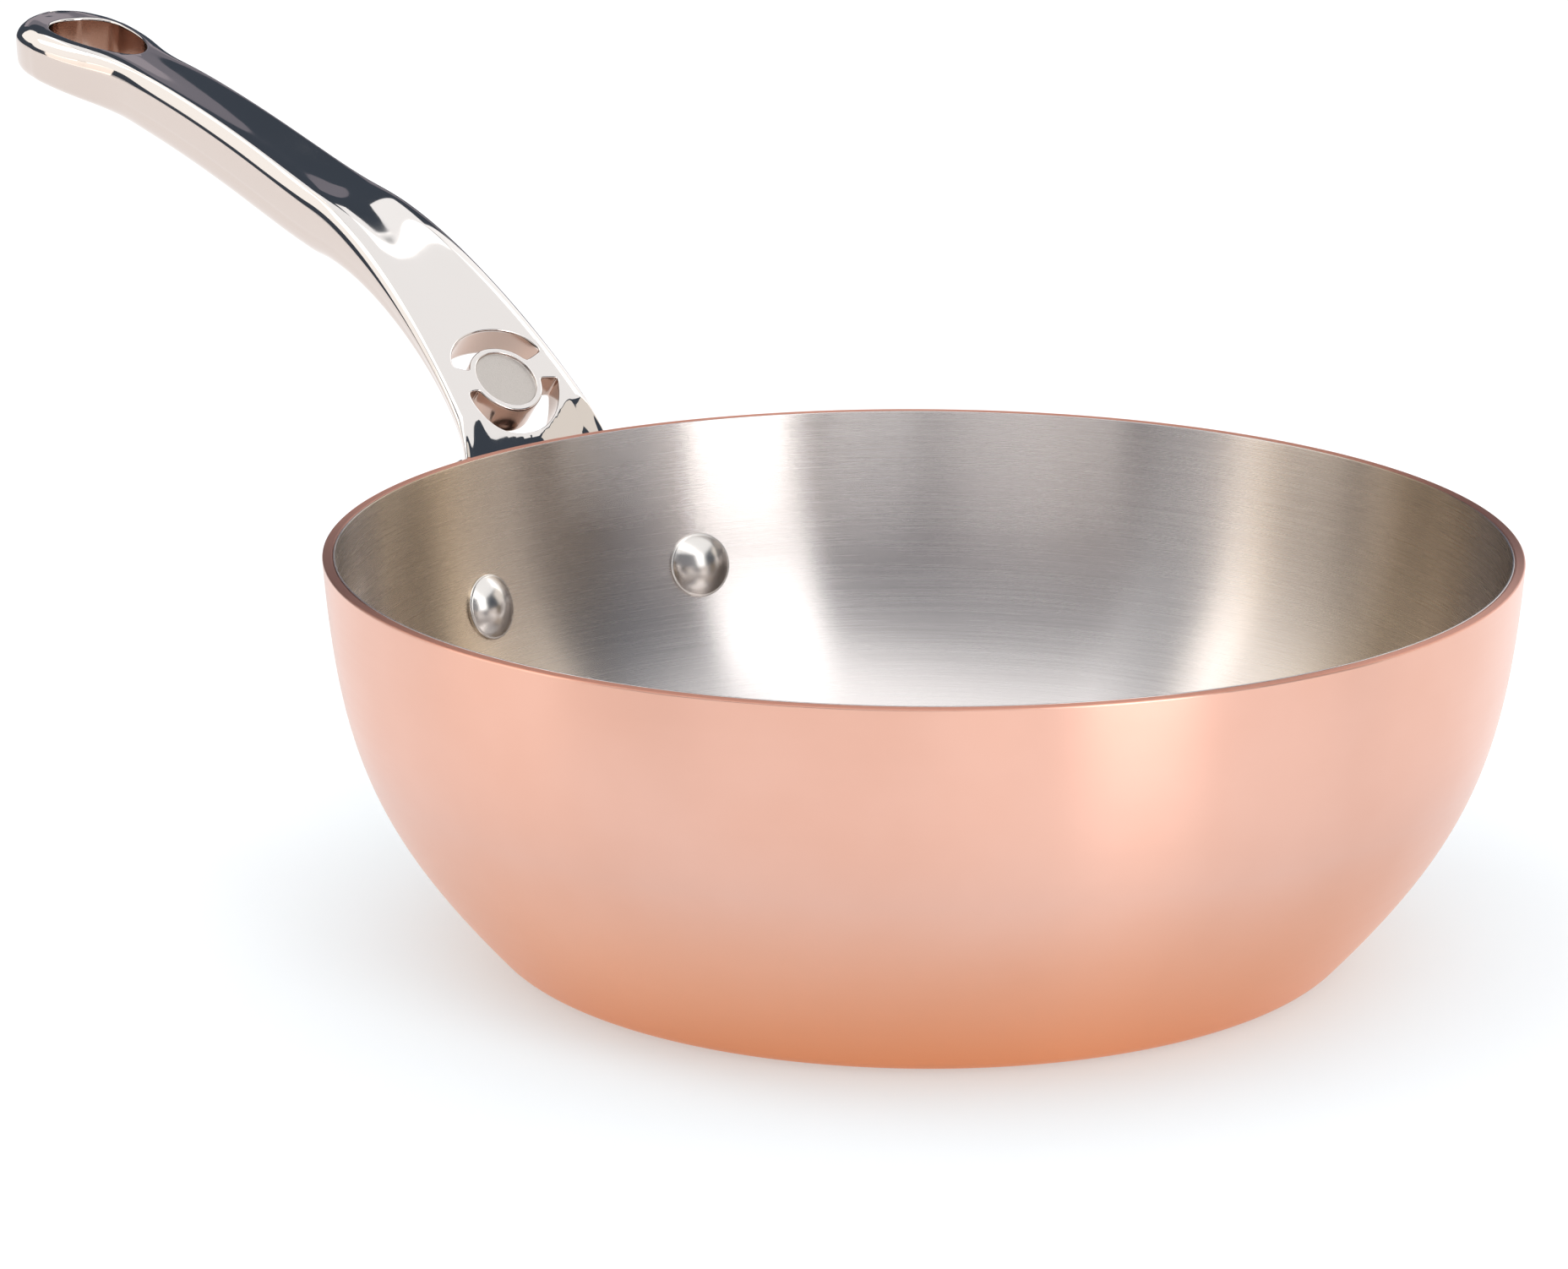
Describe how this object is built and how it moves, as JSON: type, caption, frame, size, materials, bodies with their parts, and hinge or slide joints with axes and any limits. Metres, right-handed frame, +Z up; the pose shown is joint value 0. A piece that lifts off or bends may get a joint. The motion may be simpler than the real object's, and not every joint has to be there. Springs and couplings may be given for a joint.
{
  "type": "conical saucepan",
  "caption": "Curved, flaring copper saucepan with a steel lining and a long cast handle, riveted on, that rises steeply past the rim and ends in a hanging eye.",
  "frame": {"origin": "centre of the flat underside of the base, on the bowl's axis", "axes": "+Z up along the bowl's axis; the handle points to -X, so X is the pan's length; Y is across it"},
  "size_m": [0.4513, 0.24, 0.148],
  "materials": {
    "copper": "satin-polished copper",
    "lining_steel": "fine circular brushing",
    "handle_steel": "mirror-polished cast stainless steel",
    "rivet_steel": "mirror-polished stainless steel"
  },
  "bodies": {
    "root": {"copper_body": "copper", "steel_lining": "lining_steel", "handle": "handle_steel", "rivet_left": "rivet_steel", "rivet_right": "rivet_steel"}
  },
  "joints": []
}
